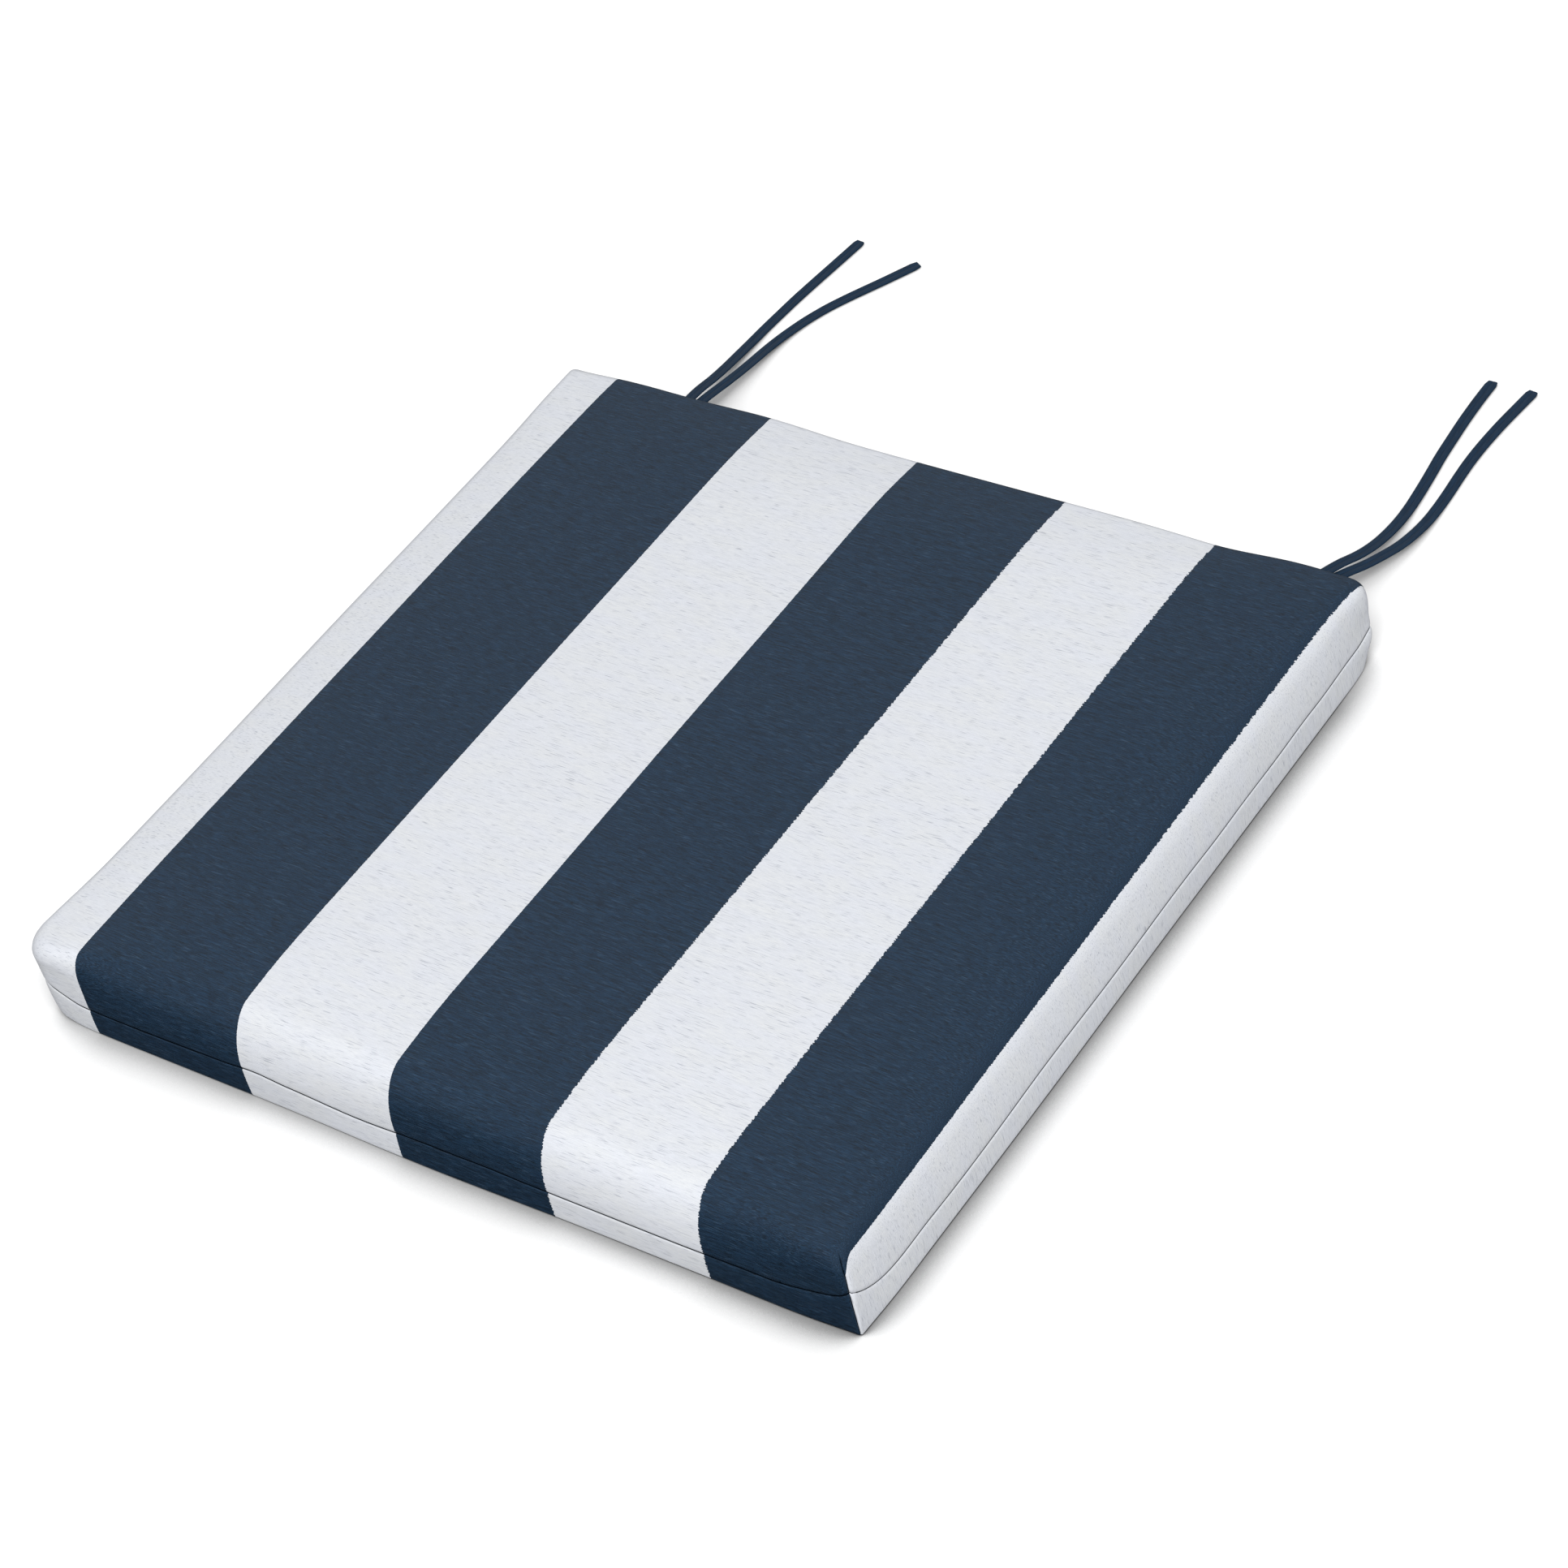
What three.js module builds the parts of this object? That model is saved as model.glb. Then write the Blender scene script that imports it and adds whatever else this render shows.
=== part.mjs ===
// A striped seat pad for a chair, with four flat cloth ties.
// The pad is one filled solid: a flat underside, nearly upright sides, a rounded top edge and a low
// crown. Its upper panel wraps down over the edge and meets the lower panel in a seam that runs
// round the side at a third of the height. Two pairs of ties leave that seam at the back.
// Millimetres, +Z up. The origin is the middle of the underside, and the front of the pad faces -Y.

import * as THREE from 'three';
import { mergeVertices } from 'three/addons/utils/BufferGeometryUtils.js';

// Driving dimensions of the pad
const padWidth = 509; // left to right
const padDepth = 490; // front to back
const shoulderHeight = 53; // the top just inside its rounded edge
const crownRise = 3; // how much higher the middle of the top is
const seamHeight = 18; // above the surface that the pad lies on
const seamGrooveDepth = 1.3; // how far the seam draws the cloth in
const seamLip = 1.3; // half the height of the groove's mouth

// At the front right corner a dart gathers the cloth, so the seam climbs to a point there.
const dartRise = 13; // how much higher the seam is at that corner
const dartFade = 13; // the distance over which the climb fades to about a third

// Driving dimensions of the ties
const tieWidth = 6.8;
const tieThickness = 1.4;
const tieEdgeBevel = 0.4;
const tieSteps = 15; // a step about every two widths
const pieceGap = 0.4; // between a tie and the seam that it comes out of

// The colours of the two cloths
const padColour = 0xe3e6ec;
const tieColour = 0x2b3b4d;

// How far the upright part of the side lies inside the widest outline, from the floor up.
const wallProfile = [
  { height: 0, inset: 1.2 },
  { height: 0.6, inset: 0.3 },
  { height: 2, inset: 0 },
  { height: 9, inset: 0 },
  { height: seamHeight, inset: 0.6 },
  { height: shoulderHeight, inset: 0.9 },
];

// The sides in the order of the corners that they follow, anticlockwise from above. The top edge is
// rounded to a quarter ellipse that reaches so far across the top and so far down the side: full
// and soft at the front, tighter elsewhere.
const sides = [
  { name: 'right', outward: [1, 0], across: 10, down: 13 },
  { name: 'back', outward: [0, 1], across: 5, down: 6 },
  { name: 'left', outward: [-1, 0], across: 10, down: 12 },
  { name: 'front', outward: [0, -1], across: 17, down: 26 },
];

// The corners, with the same two reaches of the top edge, and their plan radius at the floor, half
// way up and at the top.
const corners = [
  { x: 1, y: -1, across: 9, down: 13, floorRadius: 3, sideRadius: 3, topRadius: 7 },
  { x: 1, y: 1, across: 6, down: 8, floorRadius: 14, sideRadius: 3, topRadius: 6 },
  { x: -1, y: 1, across: 8, down: 9, floorRadius: 8, sideRadius: 4, topRadius: 4 },
  { x: -1, y: -1, across: 8, down: 10, floorRadius: 13, sideRadius: 14, topRadius: 14 },
];
const cornerEdgeReach = 60; // how far along a side the top edge takes to change to a corner's
const radiusGrowth = 0.25; // how much rounder a corner gets for each mm further into the top
const cornerSteps = 5;
const sideSteps = 24;

// The rings that the surface is drawn through: shares of the upright part above the seam, angles
// in degrees round the top edge, and insets across the top.
const wallShares = [0.33, 0.66];
const edgeAngles = [0, 16, 32, 46, 58, 70, 80, 90];
const topInsets = [26, 38, 56, 85, 125, 170, 210, 232];

// Soft swells of the filling: where on the outline they are strongest, how far they reach from
// there, and how far they push the side out. Those of the lower panel are strongest at the floor.
const swells = [
  { x: 0, y: -245, reach: 100, out: 1.4, panel: 'lower' },
  { x: 254, y: -245, reach: 35, out: -1.4, panel: 'lower' },
  { x: 254, y: -90, reach: 130, out: 0.6, panel: 'lower' },
  { x: -254, y: -245, reach: 40, out: -1.4, panel: 'lower' },
  { x: -254, y: -245, reach: 60, out: 0.8, panel: 'upper' },
  { x: -112, y: -245, reach: 60, out: -1.2, panel: 'upper' },
  { x: -116, y: 245, reach: 60, out: 1.8, panel: 'upper' },
  { x: 171, y: 245, reach: 40, out: -1.4, panel: 'upper' },
  { x: 220, y: 245, reach: 45, out: 1.6, panel: 'upper' },
  { x: -254, y: 245, reach: 50, out: -1.2, panel: 'upper' },
  { x: -254, y: 20, reach: 140, out: 0.6, panel: 'upper' },
];

// The height of the seam changes a little round the pad, in the same way.
const seamWaves = [
  { x: -112, y: -245, reach: 70, up: 1.6 },
  { x: 254, y: -150, reach: 90, up: -2.2 },
  { x: 254, y: 110, reach: 60, up: -1.8 },
];

// The value at a position in a table with rising positions, on straight lines between its rows.
function lookUp(table, from, to, position) {
  const last = table.length - 1;
  if (position <= table[0][from]) return table[0][to];
  for (let row = 0; row < last; row++) {
    const low = table[row];
    const high = table[row + 1];
    if (position <= high[from]) {
      const share = (position - low[from]) / (high[from] - low[from]);
      return low[to] + share * (high[to] - low[to]);
    }
  }
  return table[last][to];
}

// A smooth hump: 1 at its middle and 0 from its reach on.
function hump(distance, reach) {
  return Math.abs(distance) >= reach ? 0 : 0.5 + 0.5 * Math.cos((Math.PI * distance) / reach);
}

// The stations round the pad: each is a share of a corner's arc, or of the side after that corner.
// Along a side they lie closer together near its two ends.
function makeStations() {
  const stations = [];
  corners.forEach((corner, index) => {
    for (let step = 0; step <= cornerSteps; step++) {
      stations.push({ corner: index, share: step / cornerSteps, side: null });
    }
    for (let step = 1; step < sideSteps; step++) {
      const share = 0.5 - 0.5 * Math.cos((Math.PI * step) / sideSteps);
      stations.push({ corner: index, share, side: sides[index] });
    }
  });
  return stations;
}

// The direction in which the outline faces at a station.
function outwardAt(station) {
  if (station.side) return new THREE.Vector2(...station.side.outward);
  const angle = (station.corner - 1 + station.share) * (Math.PI / 2);
  return new THREE.Vector2(Math.cos(angle), Math.sin(angle));
}

// A point of the plain outline, set in by an inset, with a radius for each corner.
function outlinePoint(station, inset, radii) {
  const arcPoint = (index, share) => {
    const corner = corners[index];
    const centre = new THREE.Vector2(
      corner.x * (padWidth / 2 - inset - radii[index]),
      corner.y * (padDepth / 2 - inset - radii[index]),
    );
    const outward = outwardAt({ corner: index, share, side: null });
    return centre.addScaledVector(outward, radii[index]);
  };
  if (!station.side) return arcPoint(station.corner, station.share);
  const next = (station.corner + 1) % corners.length;
  return arcPoint(station.corner, 1).lerp(arcPoint(next, 0), station.share);
}

// The sum of the humps of a table's rows at a point, each as high as the row's value.
function humpSum(rows, value, point) {
  return rows.reduce((sum, row) => {
    const distance = Math.hypot(point.x - row.x, point.y - row.y);
    return sum + row[value] * hump(distance, row.reach);
  }, 0);
}

// The swells push a point of a side out, with a weight for each panel.
function pushOut(point, station, lowerWeight, upperWeight) {
  const lowerSwells = swells.filter((swell) => swell.panel === 'lower');
  const upperSwells = swells.filter((swell) => swell.panel === 'upper');
  const lowerPush = lowerWeight * humpSum(lowerSwells, 'out', point);
  const upperPush = upperWeight * humpSum(upperSwells, 'out', point);
  point.addScaledVector(outwardAt(station), lowerPush + upperPush);
}

// The height of the seam at a station.
function seamHeightAt(station) {
  const point = outlinePoint(station, 0, corners.map((corner) => corner.sideRadius));
  const toDart = Math.hypot(point.x - padWidth / 2, point.y + padDepth / 2);
  const rise = dartRise * Math.exp(-toDart / dartFade);
  return seamHeight + rise + humpSum(seamWaves, 'up', point);
}

// The rounding of the top edge at a station: that of its side, changing to that of the corners.
function edgeAt(station) {
  if (!station.side) return corners[station.corner];
  const nearEnd = station.share < 0.5 ? 0 : 1;
  const corner = corners[(station.corner + nearEnd) % corners.length];
  const length = station.side.outward[0] === 0 ? padWidth : padDepth;
  const toCorner = Math.abs(nearEnd - station.share) * length;
  const blend = THREE.MathUtils.smoothstep(toCorner, 0, cornerEdgeReach);
  return {
    across: THREE.MathUtils.lerp(corner.across, station.side.across, blend),
    down: THREE.MathUtils.lerp(corner.down, station.side.down, blend),
  };
}

// The crown: 1 in the middle of the top and 0 at its edges.
function crown(x, y) {
  const across = 1 - Math.abs((2 * x) / padWidth) ** 2;
  const along = 1 - Math.abs((2 * y) / padDepth) ** 1.5;
  return Math.max(0, across) * Math.max(0, along);
}

// A point of the side or the top edge, at a height and a distance further in than the wall there.
function sidePoint(station, height, furtherIn) {
  const upShare = THREE.MathUtils.smoothstep(height, seamHeight, shoulderHeight);
  const downShare = 1 - THREE.MathUtils.smoothstep(height, 0, seamHeight);
  const radii = corners.map((corner) => {
    const low = THREE.MathUtils.lerp(corner.sideRadius, corner.floorRadius, downShare);
    return THREE.MathUtils.lerp(low, corner.topRadius, upShare);
  });
  const inset = lookUp(wallProfile, 'height', 'inset', height) + furtherIn;
  const point = outlinePoint(station, inset, radii);
  pushOut(point, station, downShare, upShare);
  const lift = furtherIn > seamGrooveDepth ? crownRise * crown(point.x, point.y) : 0;
  return new THREE.Vector3(point.x, point.y, height + lift);
}

// A point of the top, where only the crown lifts it.
function topPoint(station, inset) {
  const largest = Math.min(padWidth, padDepth) / 2 - inset;
  const radii = corners.map((corner) => {
    return Math.min(corner.topRadius + radiusGrowth * inset, largest);
  });
  const point = outlinePoint(station, inset, radii);
  pushOut(point, station, 0, 1 - THREE.MathUtils.smoothstep(inset, 0, 60));
  return new THREE.Vector3(point.x, point.y, shoulderHeight + crownRise * crown(point.x, point.y));
}

// The points of the surface above a station, from the floor to near the middle of the top.
function sectionAt(station) {
  const seam = seamHeightAt(station);
  const edge = edgeAt(station);
  const edgeStart = shoulderHeight - edge.down;
  const wallStart = seam + seamLip;
  const floorHeights = wallProfile.slice(0, 3).map((row) => row.height);
  return [
    ...floorHeights.map((height) => sidePoint(station, height, 0)),
    sidePoint(station, seam / 2, 0),
    sidePoint(station, seam - seamLip, 0),
    sidePoint(station, seam, seamGrooveDepth),
    sidePoint(station, wallStart, 0),
    ...wallShares.map((share) => {
      return sidePoint(station, THREE.MathUtils.lerp(wallStart, edgeStart, share), 0);
    }),
    ...edgeAngles.map((degrees) => {
      const angle = THREE.MathUtils.degToRad(degrees);
      const height = edgeStart + edge.down * Math.sin(angle);
      return sidePoint(station, height, edge.across * (1 - Math.cos(angle)));
    }),
    ...topInsets.map((inset) => topPoint(station, inset)),
  ];
}

// A closed surface through sections that follow each other round a bottom and a top centre.
function closedFromSections(sections, bottomCentre, topCentre) {
  const length = sections[0].length;
  const points = [...sections.flat(), bottomCentre, topCentre];
  const bottom = sections.length * length;
  const top = bottom + 1;
  const faces = [];
  sections.forEach((section, place) => {
    const here = place * length;
    const next = ((place + 1) % sections.length) * length;
    faces.push(bottom, next, here);
    for (let row = 0; row < length - 1; row++) {
      faces.push(here + row, next + row, next + row + 1);
      faces.push(here + row, next + row + 1, here + row + 1);
    }
    faces.push(here + length - 1, next + length - 1, top);
  });
  const geometry = new THREE.BufferGeometry().setFromPoints(points);
  geometry.setIndex(faces);
  return geometry;
}

// The pad, moved by the little that its swells shift the middle of its outline.
function makePad() {
  const bottomCentre = new THREE.Vector3(0, 0, 0);
  const topCentre = new THREE.Vector3(0, 0, shoulderHeight + crownRise);
  const sections = makeStations().map(sectionAt);
  const geometry = mergeVertices(closedFromSections(sections, bottomCentre, topCentre));
  geometry.computeBoundingBox();
  const middle = geometry.boundingBox.getCenter(new THREE.Vector3());
  geometry.translate(-middle.x, -middle.y, 0);
  geometry.computeVertexNormals();
  return { geometry, middle };
}

const pad = makePad();

// The ties come out of the back of the seam, in two pairs, one tie of a pair above the other.
const seamInset = lookUp(wallProfile, 'height', 'inset', seamHeight);
const rootY = padDepth / 2 - seamInset - pad.middle.y + pieceGap;
const restZ = 1.1; // the middle of a tie that lies on the surface, with room for a slight twist
const upperRootZ = 18.9;
const lowerRootZ = 17.1;

// Each route is the middle line of a tie, from the seam to the free end.
const tieRoutes = {
  tie_left_outer: [
    [-198.0, rootY, upperRootZ],
    [-198.0, 250.0, upperRootZ],
    [-198.8, 262.0, 18.3],
    [-200.0, 273.0, 16.8],
    [-201.5, 285.0, 14.3],
    [-202.6, 298.0, 11.0],
    [-204.4, 312.0, 7.6],
    [-206.5, 327.0, 4.4],
    [-207.6, 342.0, 2.3],
    [-207.8, 357.0, 1.3],
    [-206.9, 372.0, restZ],
    [-205.8, 386.0, restZ],
    [-204.3, 400.0, restZ],
    [-202.5, 415.0, restZ],
    [-200.7, 430.0, restZ],
    [-198.9, 445.4, restZ],
  ],
  tie_left_inner: [
    [-197.0, rootY, lowerRootZ],
    [-197.0, 250.0, lowerRootZ],
    [-195.9, 261.0, 16.2],
    [-194.3, 272.0, 15.0],
    [-193.7, 283.0, 13.6],
    [-192.6, 296.0, 11.9],
    [-192.4, 309.0, 9.6],
    [-192.9, 322.0, 7.1],
    [-193.4, 335.0, 4.8],
    [-193.0, 348.0, 3.0],
    [-191.4, 360.0, 1.8],
    [-188.3, 372.0, 1.3],
    [-183.3, 385.0, restZ],
    [-177.4, 396.5, restZ],
    [-171.4, 407.0, restZ],
    [-164.4, 419.0, restZ],
    [-153.4, 438.6, restZ],
  ],
  tie_right_inner: [
    [202.4, rootY, upperRootZ],
    [202.4, 250, upperRootZ],
    [205.4, 262, 18.5],
    [208.8, 273, 17.2],
    [211.6, 285, 14.6],
    [214.9, 298, 10.8],
    [216.8, 310.8, 7.6],
    [217.2, 324.0, 4.7],
    [217.1, 337.0, 2.8],
    [216.3, 350.0, 1.6],
    [215.1, 364.0, 1.3],
    [213.6, 378.0, restZ],
    [212.0, 392.0, restZ],
    [210.9, 407.0, restZ],
    [209.9, 423.0, restZ],
    [209.4, 440.0, restZ],
    [209.5, 457.0, restZ],
  ],
  tie_right_outer: [
    [203.4, rootY, lowerRootZ],
    [203.4, 250, lowerRootZ],
    [207.6, 261, 16.2],
    [213.0, 271.5, 15.0],
    [218.0, 281.5, 13.7],
    [222.6, 291.5, 11.9],
    [225.8, 303.0, 9.3],
    [228.6, 316.0, 6.4],
    [230.1, 329.0, 4.2],
    [230.6, 342.0, 2.4],
    [230.3, 355.0, 1.4],
    [229.7, 368.0, restZ],
    [228.9, 381.0, restZ],
    [228.4, 395.0, restZ],
    [228.8, 410.0, restZ],
    [230.1, 427.0, restZ],
    [232.0, 443.0, restZ],
    [233.8, 457.0, restZ],
  ],
};

// A tie's section is a thin band with its long edges bevelled. The first axis of the section stands
// upright on the path and the second lies level.
function tieSection() {
  const halfWidth = tieWidth / 2;
  const halfThickness = tieThickness / 2;
  const innerWidth = halfWidth - tieEdgeBevel;
  const innerThickness = halfThickness - tieEdgeBevel;
  return new THREE.Shape([
    new THREE.Vector2(halfThickness, innerWidth),
    new THREE.Vector2(innerThickness, halfWidth),
    new THREE.Vector2(-innerThickness, halfWidth),
    new THREE.Vector2(-halfThickness, innerWidth),
    new THREE.Vector2(-halfThickness, -innerWidth),
    new THREE.Vector2(-innerThickness, -halfWidth),
    new THREE.Vector2(innerThickness, -halfWidth),
    new THREE.Vector2(halfThickness, -innerWidth),
  ]);
}

function makeTie(route) {
  const path = new THREE.CatmullRomCurve3(route.map((point) => new THREE.Vector3(...point)));
  return new THREE.ExtrudeGeometry(tieSection(), { steps: tieSteps, extrudePath: path });
}

function cloth(colour) {
  return new THREE.MeshStandardMaterial({ color: colour, roughness: 0.95, metalness: 0 });
}

function addPiece(group, name, geometry, material) {
  const mesh = new THREE.Mesh(geometry, material);
  mesh.name = name;
  group.add(mesh);
}

const chairPad = new THREE.Group();
addPiece(chairPad, 'pad', pad.geometry, cloth(padColour));
for (const [name, route] of Object.entries(tieRoutes)) {
  addPiece(chairPad, name, makeTie(route), cloth(tieColour));
}

export default chairPad;
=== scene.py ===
# %% [markdown]
# # A striped chair pad with cloth ties
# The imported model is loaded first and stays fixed. It gives the true size and place of the filled
# pad and of its four ties. Everything below dresses those five solids: the pad gets its soft,
# filled shape and its striped cloth, and each tie becomes a folded strip of cloth.

# %% Load the frame
import math

import bmesh
import bpy
import numpy as np
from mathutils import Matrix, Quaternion, Vector
from mathutils.kdtree import KDTree


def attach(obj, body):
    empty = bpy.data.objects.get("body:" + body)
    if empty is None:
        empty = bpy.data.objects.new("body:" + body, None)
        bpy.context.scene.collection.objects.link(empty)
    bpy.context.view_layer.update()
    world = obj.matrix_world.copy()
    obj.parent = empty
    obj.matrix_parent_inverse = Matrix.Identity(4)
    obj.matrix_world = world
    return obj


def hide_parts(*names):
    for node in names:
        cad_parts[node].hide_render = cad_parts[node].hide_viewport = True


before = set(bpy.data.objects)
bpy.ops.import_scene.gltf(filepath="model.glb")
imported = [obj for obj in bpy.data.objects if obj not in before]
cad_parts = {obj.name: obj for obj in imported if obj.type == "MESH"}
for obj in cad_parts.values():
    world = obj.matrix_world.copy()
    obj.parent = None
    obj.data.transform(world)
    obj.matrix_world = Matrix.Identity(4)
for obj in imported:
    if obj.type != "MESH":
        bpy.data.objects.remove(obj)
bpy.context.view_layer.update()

scene = bpy.context.scene
MM = 0.001
print("solids:", sorted(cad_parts))

# %% [markdown]
# ## The camera
# The photograph looks down on the pad's front right corner, with the picture turned a little. The
# view was worked out from the pad's straight edges and its stripes. A camera can be aimed with a
# constraint, but plain angles are easier to read and to correct: how far round the pad it stands,
# how high, and how far it is rolled.

# %% Camera
camera_azimuth = math.radians(44.63)
camera_elevation = math.radians(42.46)
camera_roll = math.radians(-15.61)
back = Vector((
    math.sin(camera_azimuth) * math.cos(camera_elevation),
    -math.cos(camera_azimuth) * math.cos(camera_elevation),
    math.sin(camera_elevation),
))
camera = bpy.data.objects.new("camera", bpy.data.cameras.new("camera"))
scene.collection.objects.link(camera)
camera.data.lens = 102.93
camera.data.sensor_width = 36
camera.location = (1.2118, -1.1672, 1.5592)
camera.rotation_mode = "QUATERNION"
camera.rotation_quaternion = Quaternion(back, camera_roll) @ (-back).to_track_quat("-Z", "Y")
scene.camera = camera
print("camera distance in m:", round(camera.location.length, 3))

# %% [markdown]
# ## Helpers for materials
# Cloth colours are chosen as sRGB hex values, the way a paint chart gives them, but shader nodes
# work in linear light, so one function converts them. A second one adds a node together with its
# settings and its links, which keeps each material readable from top to bottom. The last three are
# short names for the nodes that are used most.

# %% Material helpers
def linear(hex_colour):
    """An sRGB hex colour as linear RGBA."""
    channels = [int(hex_colour[i:i + 2], 16) / 255 for i in (1, 3, 5)]
    return [c / 12.92 if c <= 0.04045 else ((c + 0.055) / 1.055) ** 2.4 for c in channels] + [1]


def add_node(tree, kind, inputs=None, **settings):
    """Adds a node. An input is a value, or a socket that it is linked from."""
    node = tree.nodes.new(kind)
    for name, value in settings.items():
        setattr(node, name, value)
    for key, value in (inputs or {}).items():
        if isinstance(value, bpy.types.NodeSocket):
            tree.links.new(value, node.inputs[key])
        else:
            node.inputs[key].default_value = value
    return node


def new_material(name):
    """An empty node material, and its tree."""
    material = bpy.data.materials.new(name)
    material.use_nodes = True
    material.node_tree.nodes.clear()
    return material, material.node_tree


def maths(tree, operation, a, b=0.0, c=0.0):
    return add_node(tree, "ShaderNodeMath", {0: a, 1: b, 2: c}, operation=operation).outputs[0]


def map_range(tree, value, from_low, from_high, to_low=0.0, to_high=1.0):
    """A value carried from one range over to another, and held at both ends."""
    return add_node(tree, "ShaderNodeMapRange",
                    {"Value": value, "From Min": from_low, "From Max": from_high,
                     "To Min": to_low, "To Max": to_high}).outputs["Result"]


def mix(tree, factor, a, b, **settings):
    """Colour b over colour a. A mix node repeats its sockets' names, so they go by number."""
    return add_node(tree, "ShaderNodeMix", {"Factor": factor, 6: a, 7: b},
                    data_type="RGBA", **settings).outputs[2]


# %% [markdown]
# ## The four ties
# A tie is a strip of navy canvas, folded lengthwise and pressed flat to about 7 mm. It leaves the
# seam at the back of the pad, droops to the surface and ends in a cut end. A curve with a bevel
# would do, but it can't round off the cut end. So a flat section is swept along the route as a
# mesh: ring after ring of points, each ring standing across the route.

# %% The routes of the ties, in metres, from the seam to the free end
tie_routes = {
    "tie_left_outer": [
        (-0.1980, 0.2451, 0.0189), (-0.1980, 0.2500, 0.0189), (-0.1988, 0.2620, 0.0183),
        (-0.2000, 0.2730, 0.0168), (-0.2015, 0.2850, 0.0143), (-0.2026, 0.2980, 0.0110),
        (-0.2044, 0.3120, 0.0076), (-0.2065, 0.3270, 0.0044), (-0.2076, 0.3420, 0.0023),
        (-0.2078, 0.3570, 0.0013), (-0.2069, 0.3720, 0.0011), (-0.2058, 0.3860, 0.0011),
        (-0.2043, 0.4000, 0.0011), (-0.2025, 0.4150, 0.0011), (-0.2007, 0.4300, 0.0011),
        (-0.1989, 0.4454, 0.0011),
    ],
    "tie_left_inner": [
        (-0.1970, 0.2451, 0.0171), (-0.1970, 0.2500, 0.0171), (-0.1959, 0.2610, 0.0162),
        (-0.1943, 0.2720, 0.0150), (-0.1937, 0.2830, 0.0136), (-0.1926, 0.2960, 0.0119),
        (-0.1924, 0.3090, 0.0096), (-0.1929, 0.3220, 0.0071), (-0.1934, 0.3350, 0.0048),
        (-0.1930, 0.3480, 0.0030), (-0.1914, 0.3600, 0.0018), (-0.1883, 0.3720, 0.0013),
        (-0.1833, 0.3850, 0.0011), (-0.1774, 0.3965, 0.0011), (-0.1714, 0.4070, 0.0011),
        (-0.1644, 0.4190, 0.0011), (-0.1534, 0.4386, 0.0011),
    ],
    "tie_right_inner": [
        (0.2024, 0.2451, 0.0189), (0.2024, 0.2500, 0.0189), (0.2054, 0.2620, 0.0185),
        (0.2088, 0.2730, 0.0172), (0.2116, 0.2850, 0.0146), (0.2149, 0.2980, 0.0108),
        (0.2168, 0.3108, 0.0076), (0.2172, 0.3240, 0.0047), (0.2171, 0.3370, 0.0028),
        (0.2163, 0.3500, 0.0016), (0.2151, 0.3640, 0.0013), (0.2136, 0.3780, 0.0011),
        (0.2120, 0.3920, 0.0011), (0.2109, 0.4070, 0.0011), (0.2099, 0.4230, 0.0011),
        (0.2094, 0.4400, 0.0011), (0.2095, 0.4570, 0.0011),
    ],
    "tie_right_outer": [
        (0.2034, 0.2451, 0.0171), (0.2034, 0.2500, 0.0171), (0.2076, 0.2610, 0.0162),
        (0.2130, 0.2715, 0.0150), (0.2180, 0.2815, 0.0137), (0.2226, 0.2915, 0.0119),
        (0.2258, 0.3030, 0.0093), (0.2286, 0.3160, 0.0064), (0.2301, 0.3290, 0.0042),
        (0.2306, 0.3420, 0.0024), (0.2303, 0.3550, 0.0014), (0.2297, 0.3680, 0.0011),
        (0.2289, 0.3810, 0.0011), (0.2284, 0.3950, 0.0011), (0.2288, 0.4100, 0.0011),
        (0.2301, 0.4270, 0.0011), (0.2320, 0.4430, 0.0011), (0.2338, 0.4570, 0.0011),
    ],
}
tie_width = 6.8 * MM
tie_thickness = 1.4 * MM
rings_between = 6  # rings of points from one point of a route to the next
print("ties:", len(tie_routes))


# %% A smooth line through a route
def smooth_line(points, steps):
    """Points on a Catmull-Rom line through the given ones, with so many steps between two."""
    p = [2 * np.array(points[0]) - points[1], *map(np.array, points)]
    p.append(2 * p[-1] - p[-2])
    line = []
    for a, b, c, d in zip(p, p[1:], p[2:], p[3:]):
        for t in np.arange(steps) / steps:
            line.append(b + 0.5 * t * (c - a + t * (2 * a - 5 * b + 4 * c - d
                        + t * (3 * b - a - 3 * c + d))))
    return np.array([*line, p[-2]])


def line_length(line):
    return float(np.linalg.norm(np.diff(line, axis=0), axis=1).sum())


for name, route in tie_routes.items():
    print(name, "length in mm:", round(line_length(smooth_line(route, rings_between)) / MM, 1))


# %% The section of a tie
def tie_section():
    """Across and up, in metres: a flat strip with round long edges and a fold line on its top."""
    half_width, half_thickness = tie_width / 2, tie_thickness / 2
    edge = [math.radians(a) for a in (-90, -60, -30, 0, 30, 60, 90)]
    flat = half_width - half_thickness
    right = [(flat + half_thickness * math.cos(a), half_thickness * math.sin(a)) for a in edge]
    left = [(-x, -z) for x, z in right]
    # The two folded edges meet in a shallow line.
    line_half_width, line_depth = 0.35 * MM, 0.25 * MM
    top = [(line_half_width, half_thickness), (0, half_thickness - line_depth),
           (-line_half_width, half_thickness)]
    return np.array([*right, *top, *left])


print("points round a tie:", len(tie_section()))


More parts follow.
